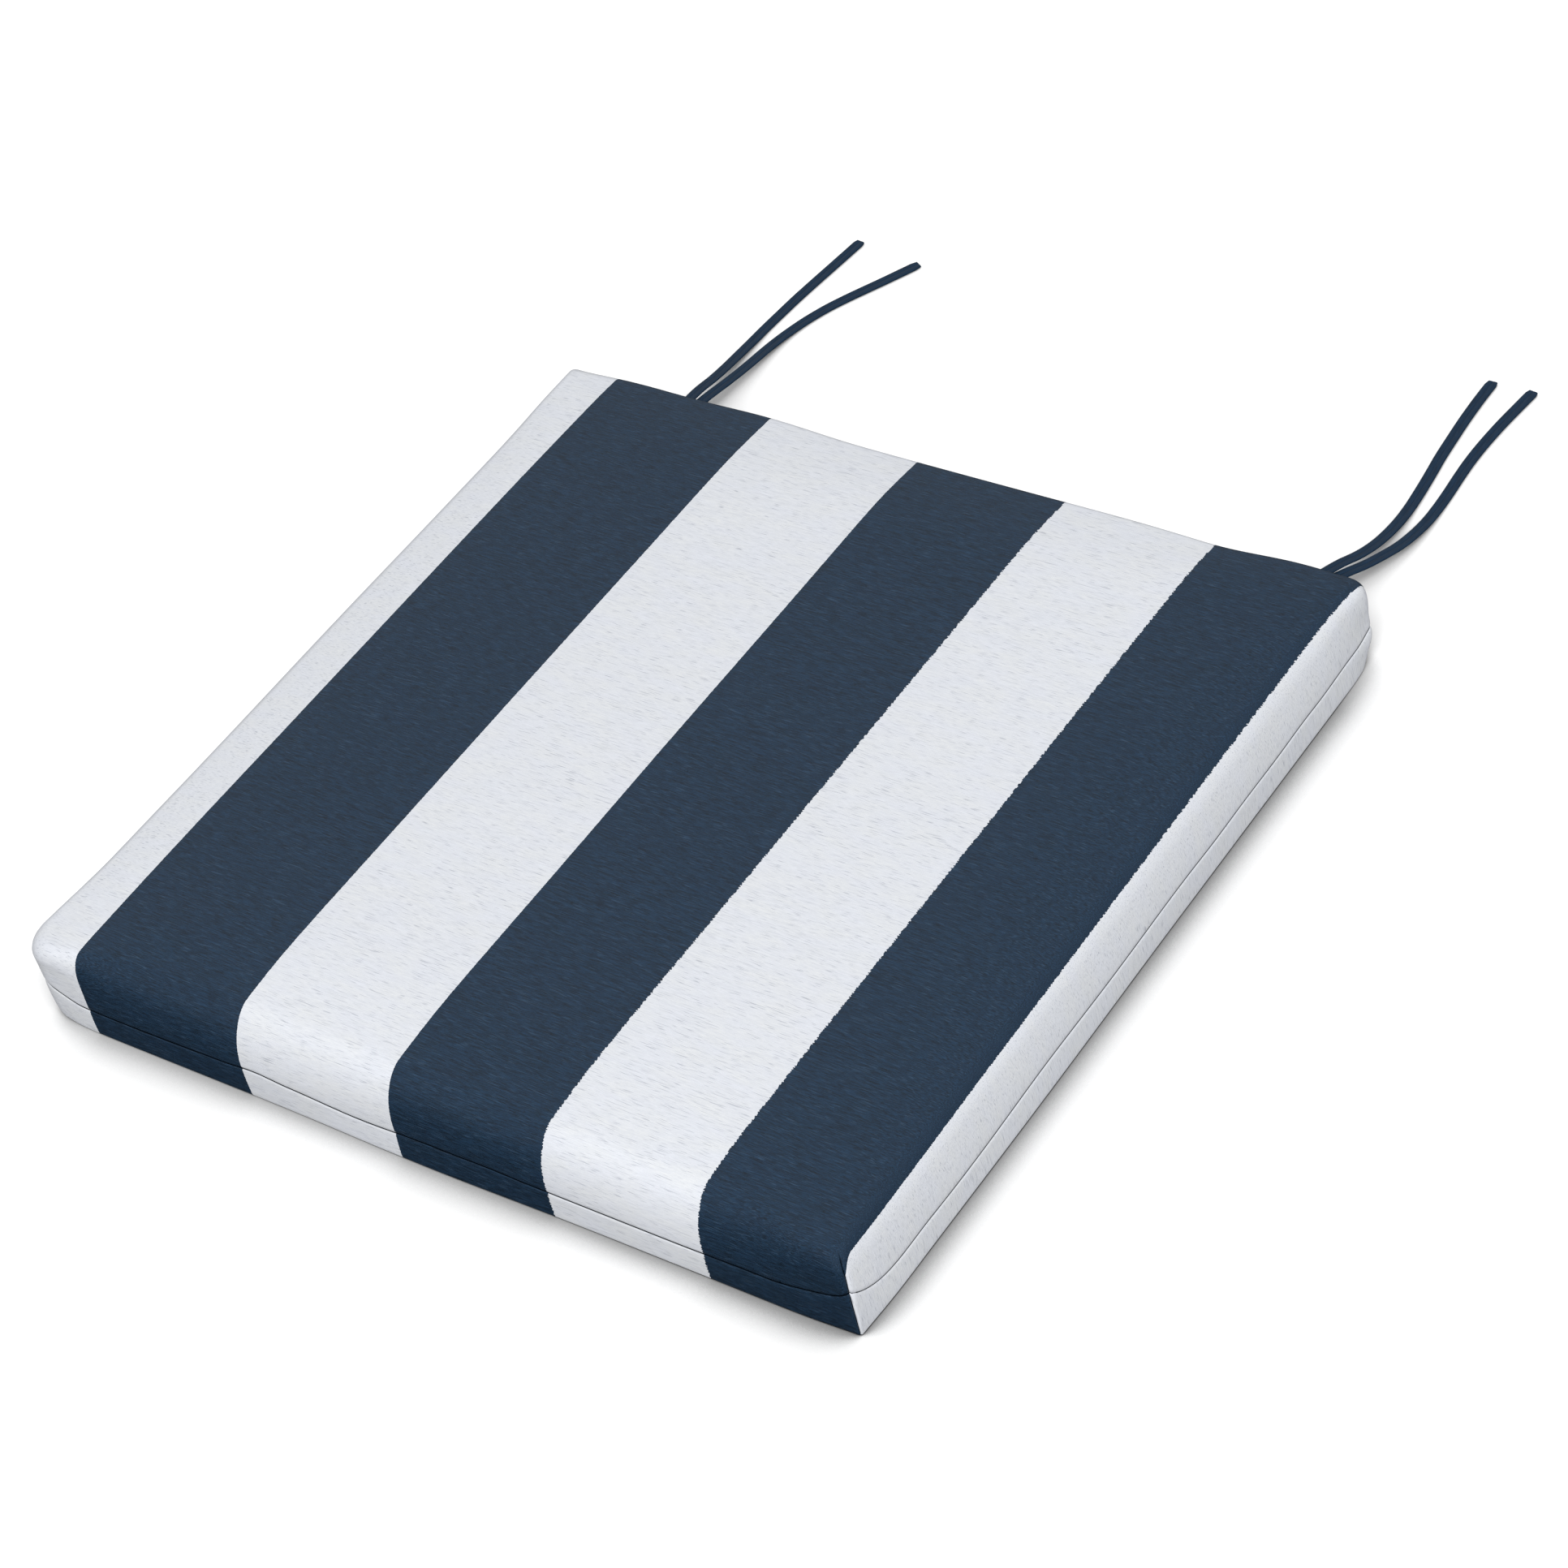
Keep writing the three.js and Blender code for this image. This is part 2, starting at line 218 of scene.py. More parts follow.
# %% Sweep the ties
def make_tie(name, route):
    """A tie and its middle line. Near each end, the last 0.8 mm narrow to 0.8 of the width."""
    line = smooth_line(route, rings_between)
    along = np.gradient(line, axis=0)
    along /= np.linalg.norm(along, axis=1)[:, None]
    across = np.cross(along, (0, 0, 1))
    across /= np.linalg.norm(across, axis=1)[:, None]
    upward = np.cross(across, along)
    section = tie_section()
    run = np.concatenate([[0], np.cumsum(np.linalg.norm(np.diff(line, axis=0), axis=1))])
    to_end = np.minimum(run, run[-1] - run) / (0.8 * MM)
    narrow = np.where(to_end < 1, 0.8 + 0.2 * np.sqrt(np.clip(to_end, 0, 1)), 1)
    rings = [
        line[i] + narrow[i] * (section[:, :1] * across[i] + section[:, 1:] * upward[i])
        for i in range(len(line))
    ]
    count = len(section)
    faces = [
        (i * count + j, i * count + (j + 1) % count,
         (i + 1) * count + (j + 1) % count, (i + 1) * count + j)
        for i in range(len(line) - 1) for j in range(count)
    ]
    faces.append(tuple(range(count))[::-1])
    faces.append(tuple(range((len(line) - 1) * count, len(line) * count)))
    mesh = bpy.data.meshes.new(name)
    mesh.from_pydata(np.concatenate(rings).tolist(), [], faces)
    around = np.arange(count) / count * 2 * tie_width
    uv = mesh.uv_layers.new(name="along_tie")
    for loop in mesh.loops:
        ring, place = divmod(loop.vertex_index, count)
        uv.data[loop.index].uv = (around[place], run[ring])
    tie = bpy.data.objects.new(name + "_cloth", mesh)
    scene.collection.objects.link(tie)
    return tie, line


def select_only(piece):
    bpy.ops.object.select_all(action="DESELECT")
    piece.select_set(True)
    bpy.context.view_layer.objects.active = piece


def face_outwards(piece):
    select_only(piece)
    bpy.ops.object.mode_set(mode="EDIT")
    bpy.ops.mesh.select_all(action="SELECT")
    bpy.ops.mesh.normals_make_consistent(inside=False)
    bpy.ops.object.mode_set(mode="OBJECT")


ties = {}
for name, route in tie_routes.items():
    tie, line = make_tie(name, route)
    face_outwards(tie)
    bpy.ops.object.shade_smooth_by_angle(angle=math.radians(50))
    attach(tie, "root")
    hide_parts(name)
    ties[name] = tie
    print(name, "faces:", len(tie.data.polygons))

# %% [markdown]
# ## The pad: a copy to work on
# The solid of the pad is a copy of the real outline: flat below, upright sides, a soft top edge and
# a low crown. Its mesh comes in as loose triangles, so the copy is merged and turned back into
# four-sided faces, which subdivide evenly. The solid's seam is a plain V. It is filled up here, and
# cut again as a fine seam once the pad has its filled shape.

# %% A merged copy of the pad's solid
same_place = 0.01 * MM
quad_angle = math.radians(60)  # two triangles that differ by less than this become one face
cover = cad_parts["pad"].copy()
cover.data = cover.data.copy()
cover.name = cover.data.name = "pad_cover"
scene.collection.objects.link(cover)
select_only(cover)
bpy.ops.object.mode_set(mode="EDIT")
bpy.ops.mesh.select_all(action="SELECT")
bpy.ops.mesh.remove_doubles(threshold=same_place)
bpy.ops.mesh.tris_convert_to_quads(face_threshold=quad_angle, shape_threshold=quad_angle)
bpy.ops.object.mode_set(mode="OBJECT")
print("cover faces:", len(cover.data.polygons), "vertices:", len(cover.data.vertices))

# %% Find the seam and fill it up
seam_dip = 0.3 * MM  # a point this far behind the mean of its neighbours lies in the seam
seam_depth = 1.3 * MM  # how far out its points are brought, to fill it up
seam_lowest, seam_highest = 13 * MM, 33 * MM
mesh = bmesh.new()
mesh.from_mesh(cover.data)
mesh.normal_update()
seam_points = []
for point in mesh.verts:
    near = [edge.other_vert(point).co for edge in point.link_edges]
    middle = sum(near, Vector()) / len(near)
    in_band = seam_lowest < point.co.z < seam_highest
    if in_band and point.normal.dot(middle - point.co) > seam_dip:
        seam_points.append(point.index)
mesh.verts.ensure_lookup_table()
for index in seam_points:
    point = mesh.verts[index]
    outward = Vector((point.normal.x, point.normal.y, 0)).normalized()
    point.co += outward * seam_depth
mesh.to_mesh(cover.data)
mesh.free()
seam_group = cover.vertex_groups.new(name="seam")
seam_group.add(seam_points, 1, "REPLACE")
print("points on the seam:", len(seam_points))

# %% [markdown]
# ## Swell the filling
# A cushion gets its look from the filling that pushes against the cover. Blender's Cloth does that
# with pressure from inside. It wants an even mesh, so it runs on a second copy, remeshed in small
# even faces. The copy starts with its top a little lower than the pad's, and its underside is held
# flat on the surface. The cover is bound to it with a Surface Deform modifier, and follows it.

# %% The filling, with even faces
filling = cover.copy()
filling.data = cover.data.copy()
filling.name = filling.data.name = "filling"
scene.collection.objects.link(filling)
select_only(filling)
remesh = filling.modifiers.new("Remesh", "REMESH")
remesh.mode = "VOXEL"
remesh.voxel_size = 5 * MM
bpy.ops.object.modifier_apply(modifier=remesh.name)
triangles = filling.modifiers.new("Triangulate", "TRIANGULATE")
bpy.ops.object.modifier_apply(modifier=triangles.name)


def numbers_of(mesh, what):
    """A coordinate or normal of every point of a mesh, as rows of three."""
    flat = np.empty(len(mesh.vertices) * 3)
    mesh.vertices.foreach_get(what, flat)
    return flat.reshape(-1, 3)


def move_points(mesh, points):
    mesh.vertices.foreach_set("co", np.ascontiguousarray(points).ravel())
    mesh.update()


filled = numbers_of(filling.data, "co")
print("filling points:", len(filled))


# %% Run the cloth with pressure from inside
held_below = 4 * MM  # the underside, which the surface holds flat
swell_cap = 3 * MM  # the photographed pad is firm, so it swells by little
pressure_frames = 20
pad_half_width, pad_half_depth = 0.255, 0.246


def slack_shape(points):
    """The pad before it is filled: its top lies lower, most of all in the middle."""
    low = points.copy()
    across = np.clip(1 - (points[:, 0] / pad_half_width) ** 2, 0, 1)
    deep = np.clip(1 - (points[:, 1] / pad_half_depth) ** 2, 0, 1)
    high = np.clip(points[:, 2] / (40 * MM) - 0.25, 0, 1)  # 0 up to 10 mm, 1 from 50 mm
    low[:, 2] -= swell_cap * across * deep * high
    return low


def swollen(piece, slack):
    """The points after the pressure. The whole move is scaled down, so none passes the cap."""
    move_points(piece.data, slack)
    underside = piece.vertex_groups.new(name="underside")
    underside.add(np.nonzero(slack[:, 2] < held_below)[0].tolist(), 1, "REPLACE")
    cloth = piece.modifiers.new("Cloth", "CLOTH")
    cloth.settings.quality = 6
    cloth.settings.mass = 1.0
    cloth.settings.tension_stiffness = cloth.settings.compression_stiffness = 80
    cloth.settings.use_pressure = True
    cloth.settings.uniform_pressure_force = 4
    cloth.settings.effector_weights.gravity = 0
    cloth.settings.vertex_group_mass = underside.name
    cloth.point_cache.frame_end = pressure_frames
    for number in range(1, pressure_frames + 1):
        scene.frame_set(number)
    full = numbers_of(piece.evaluated_get(bpy.context.evaluated_depsgraph_get()).data, "co")
    piece.modifiers.remove(cloth)
    scene.frame_set(1)
    furthest = np.linalg.norm(full - slack, axis=1).max()
    print("cloth moved in mm, at most:", round(furthest / MM, 2))
    return slack + (full - slack) * min(1, swell_cap / furthest)


follow = cover.modifiers.new("Follow", "SURFACE_DEFORM")
follow.target = filling
select_only(cover)
bpy.ops.object.surfacedeform_bind(modifier=follow.name)
print("cover bound to the filling:", follow.is_bound)
end = swollen(filling, slack_shape(filled))
print("end against the solid in mm, least and most on each axis:",
      ((end - filled).min(axis=0) / MM).round(2), ((end - filled).max(axis=0) / MM).round(2))
move_points(filling.data, end)
select_only(cover)
bpy.ops.object.modifier_apply(modifier=follow.name)
bpy.data.objects.remove(filling)

# %% The right wall leans in above the seam
# The solid's right wall is upright up to its round top edge. On the real pad the top panel starts
# to lean in a little above the seam, which shows as a soft gradient of light.
lean = 2 * MM
lean_from, lean_over = 24 * MM, 24 * MM
lean_end, lean_fade = 235 * MM, 60 * MM  # along the wall: the back corner stays full
points, facing = numbers_of(cover.data, "co"), numbers_of(cover.data, "normal")
up = np.clip((points[:, 2] - lean_from) / lean_over, 0, 1) ** 1.5
up *= np.clip((lean_end - points[:, 1]) / lean_fade, 0, 1)
points[:, 0] -= lean * up * np.clip(facing[:, 0], 0, 1)
move_points(cover.data, points)
print("points leaned in:", int((up * facing[:, 0] > 0.01).sum()))

# %% [markdown]
# ## A finer mesh, and the seam
# One subdivision makes the swollen shape smooth, and a second gives the seam enough points. The
# seam itself is where two turned-in edges are sewn together: the cloth rolls in softly over about a
# millimetre on each side, and between the two rolls is a narrow slit, whose shade is painted dark
# in the canvas material.

# %% Subdivide
select_only(cover)
finer = cover.modifiers.new("Finer", "SUBSURF")
finer.levels = finer.render_levels = 2
bpy.ops.object.modifier_apply(modifier=finer.name)
print("cover faces after subdivision:", len(cover.data.polygons))

# %% Follow the photographed seam
# The seam isn't level: it climbs to the two front corners and wanders a little in between. Each
# bump is (x, y, how far it reaches, how high it lifts the seam), in millimetres.
seam_bumps = [
    (-250, -246, 30, 8.5), (-106, -246, 22, 1.6), (-40, -246, 45, -1.7), (40, -246, 25, 0.5),
    (190, -246, 40, 0.7), (232, -246, 26, 1.8), (254, -216, 38, -2.2), (254, -20, 75, -1.1),
    (254, 112, 40, 1.2), (254, 192, 25, -0.6), (254, 246, 20, 2.5),
]


def bump_at(points, x, y, reach):
    """1 at (x, y), and 0 from the reach onwards, by distance on the surface's plan."""
    away = np.hypot(points[:, 0] - x * MM, points[:, 1] - y * MM) / (reach * MM)
    return 0.5 + 0.5 * np.cos(np.pi * np.clip(away, 0, 1))


points = numbers_of(cover.data, "co")
seam_rise = sum(up * MM * bump_at(points, x, y, reach) for x, y, reach, up in seam_bumps)
height = points[:, 2] / MM
full_from, none_from, fade_over = 17, 46, 26  # heights: the surface and the top edge stay in place
grows = np.clip(height / full_from, 0, 1)
fades = np.clip((none_from - height) / fade_over, 0, 1)
points[:, 2] += seam_rise * grows * fades
move_points(cover.data, points)
print("seam moved by up to, in mm:", round(np.abs(seam_rise).max() / MM, 1))

# %% Small differences from the solid
def push(points, x, y, reach, low, high, way):
    """Moves the points near (x, y) between two heights by up to `way`, all in millimetres."""
    middle, half = (low + high) / 2 * MM, (high - low) / 2 * MM
    share = 0.5 + 0.5 * np.cos(np.pi * np.clip(np.abs(points[:, 2] - middle) / half, 0, 1))
    points += np.outer(share * bump_at(points, x, y, reach), np.array(way) * MM)


points = numbers_of(cover.data, "co")
before = points.copy()
push(points, 254, 246, 30, 26, 56, (1.0, 1.0, 0))  # the back right corner: a full top panel,
push(points, 254, 246, 30, 8, 22, (0.4, 0.4, 0))  # a step at the seam,
push(points, 254, 246, 30, -16, 16, (-1.4, -1.4, 0))  # and a foot that turns in
push(points, -228, -240, 34, 38, 62, (0, -0.9, 0.5))  # a sharper edge near the front left corner,
push(points, -254, -246, 26, -26, 26, (0.5, 0.5, 2.2))  # which doesn't quite reach the surface
move_points(cover.data, points)
print("moved by up to, in mm:", round(np.linalg.norm(points - before, axis=1).max() / MM, 1))


# %% Sew the seam
def from_line(points, facing, line):
    """How far each point is from a bent line, in metres, minus on the line's left side."""
    far_off = 9.0
    nearest_yet = np.full(len(points), far_off)
    for a, b in zip(line, line[1:]):
        length = np.linalg.norm(b - a)
        along = (b - a) / length
        run = np.clip((points - a) @ along, 0, length)
        apart = points - a - np.outer(run, along)
        away = np.linalg.norm(apart, axis=1)
        side = np.sign(np.sum(apart * np.cross(along, facing), axis=1))
        nearest_yet = np.where(away < np.abs(nearest_yet), away * side, nearest_yet)
    return nearest_yet


roll_above, roll_below, roll_reach = 0.55 * MM, 0.15 * MM, 1.3 * MM
slit_depth, slit_reach = 0.5 * MM, 0.35 * MM
seam_band = 4 * MM  # no point further from the seam than this is moved
level = 0.8  # nor one that faces up or down by more than this
on_the_seam = 0.999  # the weight of the seam's own points: subdivision blends it beside them
group = cover.vertex_groups["seam"].index
points, facing = numbers_of(cover.data, "co"), numbers_of(cover.data, "normal")
row = [v.index for v in cover.data.vertices
       for g in v.groups if g.group == group and g.weight > on_the_seam]
nearest = KDTree(len(row))
for index in row:
    nearest.insert((points[index][0], points[index][1], 0), index)
nearest.balance()
moved = points.copy()
above_seam = np.zeros(len(points))
for index, (x, y, z) in enumerate(points):
    _, on_row, distance = nearest.find((x, y, 0))
    up = z - points[on_row][2]
    above_seam[index] = up
    if distance > seam_band or abs(up) > seam_band or abs(facing[index][2]) > level:
        continue
    roll = roll_above if up > 0 else roll_below
    depth = (roll * math.exp(-(up / roll_reach) ** 2)
             + slit_depth * math.exp(-(up / slit_reach) ** 2))
    outward = Vector((facing[index][0], facing[index][1], 0)).normalized()
    moved[index] -= np.array(outward) * depth
# A small nick in the front seam: there the slit gapes. Only the painted seam shade shows it,
# widened above the seam.
nick_x, nick_reach, nick_strength = 213 * MM, 4 * MM, 0.88
nick = np.exp(-((points[:, 0] - nick_x) / nick_reach) ** 2) * (points[:, 1] < 0)
above_seam *= 1 - nick_strength * nick * (above_seam > 0)

# The upright seam of the front right corner. Its upper end is a small pointed fold.
corner_seam = np.array([
    (247.6, -237.4, 49.8), (249.0, -238.9, 47.5), (251.0, -240.8, 42.0), (251.7, -241.3, 37.8),
    (252.0, -242.1, 32.9), (252.3, -242.4, 29.1), (252.5, -243.0, 21.9), (252.5, -243.2, 12.7),
    (252.1, -243.1, 3.5), (252.0, -243.0, 0.0)]) * MM
fold_depth, fold_reach = 0.7 * MM, 0.6 * MM
from_corner = from_line(points, facing, corner_seam)
# The pale side panel begins at that corner, and turns into the top edge in a round bend.
panel_edge = np.array([
    (249.7, -226.0, 48.0), (249.9, -232.0, 47.4), (250.2, -235.0, 46.5), (250.7, -237.4, 44.9),
    (251.1, -239.4, 42.8), (251.4, -240.8, 40.0), (251.7, -241.6, 36.5), (252.0, -242.1, 32.0),
    (252.3, -242.6, 27.0), (252.5, -243.0, 21.9), (252.5, -243.2, 12.7), (252.1, -243.1, 3.5),
    (252.0, -243.0, 0.0)]) * MM
mirror = np.where(points[:, :1] < 0, (-1, 1, 1), (1, 1, 1))
past_panel_edge = -from_line(points * mirror, facing * mirror, panel_edge)
corner_x, corner_y = 235 * MM, -225 * MM  # the corner is what lies beyond both
fold_top, fold_fade = 51 * MM, 4 * MM
at_corner = (points[:, 0] > corner_x) & (points[:, 1] < corner_y)
at_corner = at_corner * np.clip((fold_top - points[:, 2]) / fold_fade, 0, 1)
at_corner *= np.clip(points[:, 2] / MM, 0, 1)
fold = fold_depth * at_corner * np.exp(-(from_corner / fold_reach) ** 2)
moved -= facing * fold[:, None]
move_points(cover.data, moved)
for name, values in (("above_seam", above_seam / MM), ("from_corner", from_corner / MM),
                     ("at_corner", at_corner), ("past_panel_edge", past_panel_edge / MM)):
    cover.data.attributes.new(name, "FLOAT", "POINT").data.foreach_set("value", values)
select_only(cover)
bpy.ops.object.shade_smooth()
print("points along the seam:", len(row))

# %% [markdown]
# ## The striped canvas
# The cover looks like acrylic canvas, a plain weave of spun, dyed yarn, woven in stripes of navy
# and pale grey. Spun yarn is uneven, so both colours show short slubs along the weft, and the edge
# between two stripes is a little ragged. The stripes run from front to back and down the front. On
# the two sides the same weft runs down the wall. The pattern reads Object coordinates, scaled to
# millimetres, so it stays with the pad.

# %% Where the stripes are, in millimetres across the pad
stripe_edges = [-217.5, -115.7, -17.0, 76.7, 167.9]  # pale, navy, pale, navy, pale, navy
ragged = [0.2, 0.25, 0.2, 0.9, 0.9]  # how far the yarns of each edge end apart
row_height = 0.65  # of the weft rows that end apart
side_edge, side_slant, side_bow = 248.2, -0.0042, 1.3e-5  # where the pale side panel begins
back_turn, back_bow = 170.0, 8e-4  # near the back corner, that edge turns out a little more
side_wrap = 3.5  # how much closer in it begins low down: from 40 mm up, and in full at 25
foot_wrap = 2.5  # and how much more at the foot, from 12 mm down, where the corner turns in
side_corner = -232.0  # in front of this, the attribute past_panel_edge bounds it
span = 520.0  # the width that the ramps cover


def ramp_over_width(tree, source, stops):
    """A ramp with hard steps over x, from (millimetres, value) pairs."""
    share = map_range(tree, source, -span / 2, span / 2)
    ramp = add_node(tree, "ShaderNodeValToRGB", {"Fac": share})
    ramp.color_ramp.interpolation = "CONSTANT"
    elements = ramp.color_ramp.elements
    elements.remove(elements[1])
    elements[0].position, elements[0].color = 0, (stops[0][1],) * 3 + (1,)
    for x, value in stops[1:]:
        elements.new((x + span / 2) / span).color = (value,) * 3 + (1,)
    return ramp.outputs["Color"]


# %% The canvas material
canvas, tree = new_material("woven_acrylic_canvas")
coords = add_node(tree, "ShaderNodeTexCoord")
in_mm = add_node(tree, "ShaderNodeVectorMath", {0: coords.outputs["Object"], "Scale": 1000.0},
                 operation="SCALE")
place = add_node(tree, "ShaderNodeSeparateXYZ", {0: in_mm.outputs["Vector"]})
x, y, z = (place.outputs[axis] for axis in "XYZ")

# The coloured yarn of each weft row stops a little sooner or later at a stripe's edge.
weft_row = maths(tree, "FLOOR", maths(tree, "MULTIPLY", maths(tree, "ADD", y, z), 1 / row_height))
row_end = add_node(tree, "ShaderNodeTexWhiteNoise", {"W": weft_row}, noise_dimensions="1D")
jag = maths(tree, "SUBTRACT", row_end.outputs["Value"], 0.5)
halfway = [(a + b) / 2 for a, b in zip(stripe_edges, stripe_edges[1:])]
ragged_share = ramp_over_width(tree, x, [(-span / 2, ragged[0]), *zip(halfway, ragged[1:])])
ragged_x = maths(tree, "MULTIPLY_ADD", jag, ragged_share, x)
stripes = ramp_over_width(
    tree, ragged_x, [(-span / 2, 0), *((edge, (i + 1) % 2) for i, edge in enumerate(stripe_edges))])

# The side panels: all that lies beyond the top edge, and behind the front corner's seam.
past_corner = add_node(tree, "ShaderNodeAttribute", attribute_name="past_panel_edge")
inside = maths(tree, "MAXIMUM", maths(tree, "GREATER_THAN", past_corner.outputs["Fac"], 0.0),
               maths(tree, "GREATER_THAN", y, side_corner))
edge_bend = maths(tree, "MULTIPLY", y, maths(tree, "MULTIPLY_ADD", y, side_bow, side_slant))
past_turn = maths(tree, "MAXIMUM", maths(tree, "SUBTRACT", y, back_turn), 0.0)
edge_bend = maths(tree, "MULTIPLY_ADD", maths(tree, "POWER", past_turn, 2.0), back_bow, edge_bend)
past_edge = maths(tree, "SUBTRACT", maths(tree, "ABSOLUTE", x), edge_bend)
# Below the top edge the panel goes on round the back corner, as far as the middle of its bend.
past_edge = maths(tree, "ADD", past_edge, map_range(tree, z, 40.0, 25.0, 0.0, side_wrap))
past_edge = maths(tree, "ADD", past_edge, map_range(tree, z, 12.0, 0.0, 0.0, foot_wrap))
# The panel's edge is a little more ragged towards the back.
side_ragged = map_range(tree, y, -200.0, 100.0, 0.15, 0.55)
far_out = maths(tree, "GREATER_THAN",
                maths(tree, "MULTIPLY_ADD", jag, side_ragged, past_edge), side_edge)
side = maths(tree, "MULTIPLY", inside, far_out)
navy_share = maths(tree, "MULTIPLY", stripes, maths(tree, "SUBTRACT", 1.0, side))

# The weft runs across the top and front, and down the two sides. Vectors mix in sockets 4 and 5.
flat_way = add_node(tree, "ShaderNodeCombineXYZ", {"X": x, "Y": y, "Z": z})
side_way = add_node(tree, "ShaderNodeCombineXYZ", {"X": z, "Y": y, "Z": x})
weft = add_node(tree, "ShaderNodeMix", {"Factor": side, 4: flat_way.outputs[0],
                                        5: side_way.outputs[0]}, data_type="VECTOR")


def yarn_noise(length, height, detail):
    """Noise whose grains are so long along the weft and so high across it, in millimetres."""
    scaled = add_node(tree, "ShaderNodeVectorMath",
                      {0: weft.outputs[1], 1: (1 / length, 1 / height, 1 / height)},
                      operation="MULTIPLY")
    noise = add_node(tree, "ShaderNodeTexNoise",
                     {"Vector": scaled.outputs["Vector"], "Scale": 1.0, "Detail": detail,
                      "Roughness": 0.5})
    return noise.outputs["Fac"]


# Noise keeps near its middle, so each part of its range that counts is spread out from 0 to 1.
grain = map_range(tree, yarn_noise(1.7, 0.25, 1.0), 0.32, 0.68)
streaks = map_range(tree, yarn_noise(7.5, 0.33, 1.0), 0.36, 0.64)
slubs = map_range(tree, yarn_noise(7.0, 0.35, 0.0), 0.66, 0.76)
clouds = map_range(tree, yarn_noise(22.0, 9.0, 2.0), 0.35, 0.65)
yarn = maths(tree, "MULTIPLY_ADD", grain, 0.4, maths(tree, "MULTIPLY", streaks, 0.6))

navy = mix(tree, clouds, linear("#03111C"), linear("#03111F"))
navy = mix(tree, yarn, navy, linear("#14314A"))
navy = mix(tree, maths(tree, "MULTIPLY", slubs, 0.35), navy, linear("#3A526A"))
pale = mix(tree, clouds, linear("#D0D2D4"), linear("#CED1D8"))
pale = mix(tree, yarn, pale, linear("#C2C5CB"))
pale = mix(tree, maths(tree, "MULTIPLY", slubs, 0.6), pale, linear("#9296A0"))
colour = mix(tree, navy_share, pale, navy)


def line_at(name, half_width):
    """1 on a line, 0 off it, from an attribute with the distance to it in millimetres. The line is
    a third narrower on the side panels."""
    away = add_node(tree, "ShaderNodeAttribute", attribute_name=name)
    away = maths(tree, "ABSOLUTE", away.outputs["Fac"])
    away = maths(tree, "MULTIPLY", away, maths(tree, "MULTIPLY_ADD", side, 0.5, 1.0))
    off = map_range(tree, away, half_width * 0.5, half_width * 1.5)
    return maths(tree, "SUBTRACT", 1.0, off)


# Between the two lips of a seam no light comes back, so that shade is painted: along the seam and
# along the front corner's upright seam the colour turns near black.
at_corner = add_node(tree, "ShaderNodeAttribute", attribute_name="at_corner")
slit = maths(tree, "MAXIMUM", line_at("above_seam", 0.27),
             maths(tree, "MULTIPLY", line_at("from_corner", 0.3), at_corner.outputs["Fac"]))
colour = mix(tree, slit, colour, linear("#02060C"))
shine = maths(tree, "MULTIPLY", maths(tree, "SUBTRACT", 1.0, slit), 0.5)

# Warp and weft cross every 0.9 mm. Real canvas is nearer 0.5 mm, too fine to show here.
thread = 0.9
weave = maths(tree, "MULTIPLY",
              maths(tree, "SINE", maths(tree, "MULTIPLY", x, 2 * math.pi / thread)),
              maths(tree, "SINE", maths(tree, "MULTIPLY", maths(tree, "ADD", y, z),
                                        2 * math.pi / thread)))
height = maths(tree, "MULTIPLY_ADD", weave, 0.25, yarn)
bump = add_node(tree, "ShaderNodeBump", {"Height": height, "Strength": 0.35,
                                         "Distance": 0.12 * MM})
shader = add_node(tree, "ShaderNodeBsdfPrincipled",
                  {"Base Color": colour, "Roughness": 0.5, "Specular IOR Level": shine,
                   "Normal": bump.outputs[0]})
add_node(tree, "ShaderNodeOutputMaterial", {"Surface": shader.outputs[0]})
cover.data.materials.clear()
cover.data.materials.append(canvas)
print("canvas nodes:", len(tree.nodes))

# %% [markdown]
# ## The cloth of the ties
# The ties look cut from the navy part of the same canvas. Their yarn runs along the strip, so their
# streaks follow the UV map that was laid along each tie, in metres: a streak is about 0.6 mm wide
# and 8 mm long.

# %% The tie material
tie_canvas, tree = new_material("woven_navy_canvas_strip")
coords = add_node(tree, "ShaderNodeTexCoord")
stretched = add_node(tree, "ShaderNodeMapping", {"Vector": coords.outputs["UV"],
                                                 "Scale": (1600, 120, 1)})
streaks = add_node(tree, "ShaderNodeTexNoise", {"Vector": stretched.outputs[0], "Scale": 1.0,
                                                "Detail": 3.0})
colour = mix(tree, streaks.outputs["Fac"], linear("#0A1A28"), linear("#1A324A"))
bump = add_node(tree, "ShaderNodeBump", {"Height": streaks.outputs["Fac"], "Strength": 0.4,
                                         "Distance": 0.15 * MM})
shader = add_node(tree, "ShaderNodeBsdfPrincipled",
                  {"Base Color": colour, "Roughness": 0.5, "Specular IOR Level": 0.2,
                   "Normal": bump.outputs[0]})
add_node(tree, "ShaderNodeOutputMaterial", {"Surface": shader.outputs[0]})
for tie in ties.values():
    tie.data.materials.append(tie_canvas)
print("tie nodes:", len(tree.nodes))

# %% [markdown]
# ## Floor and light
# The photographed pad looks lit by one large soft light from the camera's side and a soft bright
# room. Its ground looks as if it was made pure white afterwards, with a narrow dark shadow left at
# the pad's foot, because the pad's lower sides are as dark as if it stood on a grey table. So the
# floor here is white paper to the camera and grey to everything else, and it darkens within 40 mm
# of the pad.

# %% Floor
paper_white = (0.98, 0.98, 0.98, 1)
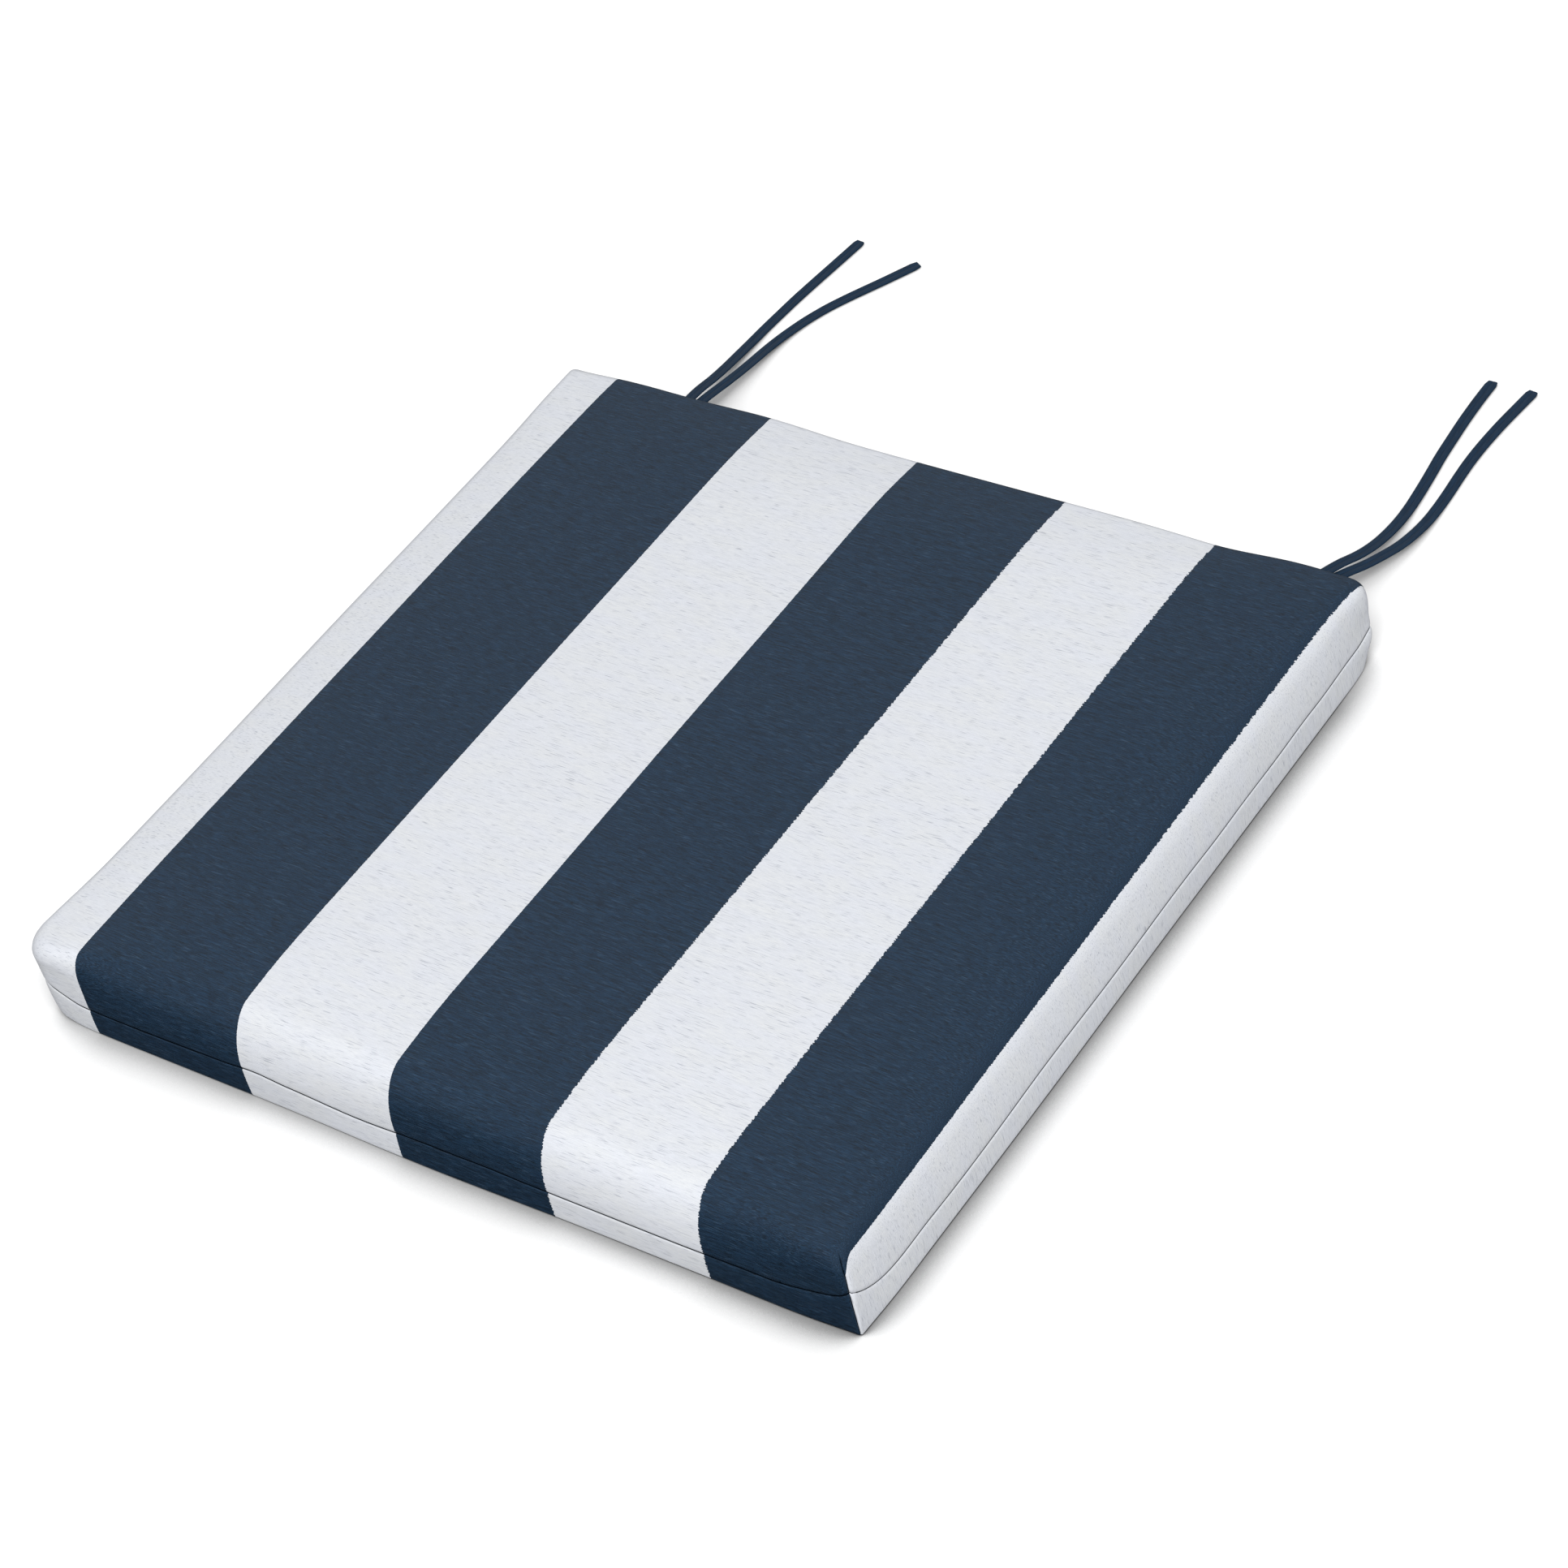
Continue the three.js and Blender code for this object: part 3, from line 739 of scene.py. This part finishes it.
# How bright the floor is, by how open it is to the sky: 1 is the free floor.
shadow_steps = [(0.5, 0.32), (0.585, 0.39), (0.64, 0.59), (0.725, 0.765), (0.86, 0.85),
                (0.93, 0.91)]
bpy.ops.mesh.primitive_plane_add(size=8, location=(0, 0, 0))
floor = bpy.context.object
floor.name = "floor"
paper, tree = new_material("white_paper")
close = add_node(tree, "ShaderNodeAmbientOcclusion", {"Distance": 40 * MM}, samples=16)
foot_shadow = add_node(tree, "ShaderNodeValToRGB", {"Fac": close.outputs["AO"]})
stops = foot_shadow.color_ramp.elements
stops[0].position, stops[0].color = 0.3, (0.1, 0.1, 0.1, 1)
stops[1].color = paper_white
for open_share, brightness in shadow_steps:
    stops.new(open_share).color = (brightness,) * 3 + (1,)
# The shadow is deepest on the right, thinner towards the left, and faint behind the pad.
place = add_node(tree, "ShaderNodeTexCoord")
place = add_node(tree, "ShaderNodeSeparateXYZ", {0: place.outputs["Object"]})
deep = map_range(tree, place.outputs["X"], -0.25, 0.3, 0.82, 1.15)
behind = map_range(tree, place.outputs["Y"], 0.2, 0.26, 1.0, 0.5)
share = maths(tree, "MULTIPLY", deep, behind)
seen = mix(tree, share, paper_white, foot_shadow.outputs["Color"], clamp_factor=False)
to_camera = add_node(tree, "ShaderNodeBsdfDiffuse", {"Color": seen})
ray = add_node(tree, "ShaderNodeLightPath")
grey = mix(tree, ray.outputs["Is Glossy Ray"], linear("#C0C0C0"), linear("#303030"))
to_others = add_node(tree, "ShaderNodeBsdfDiffuse", {"Color": grey})
sheet = add_node(tree, "ShaderNodeMixShader", {0: ray.outputs["Is Camera Ray"],
                                               1: to_others.outputs[0], 2: to_camera.outputs[0]})
add_node(tree, "ShaderNodeOutputMaterial", {"Surface": sheet.outputs[0]})
floor.data.materials.append(paper)

# %% Light
room = bpy.data.worlds.new("bright_room")
room.use_nodes = True
room.node_tree.nodes["Background"].inputs["Color"].default_value = (1, 1, 1, 1)
room.node_tree.nodes["Background"].inputs["Strength"].default_value = 0.56
scene.world = room
scene.view_settings.view_transform = "Standard"
lamp = bpy.data.lights.new("softbox", "AREA")
lamp.shape = "SQUARE"
lamp.size = 4
lamp.energy = 400
softbox = bpy.data.objects.new("softbox", lamp)
scene.collection.objects.link(softbox)
softbox.location = (2.5, -2.75, 4.75)
softbox.visible_glossy = False  # canvas is matt: the lamp leaves no shine on the round corners
softbox.rotation_euler = (-softbox.location).to_track_quat("-Z", "Y").to_euler()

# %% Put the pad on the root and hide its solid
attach(cover, "root")
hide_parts("pad")
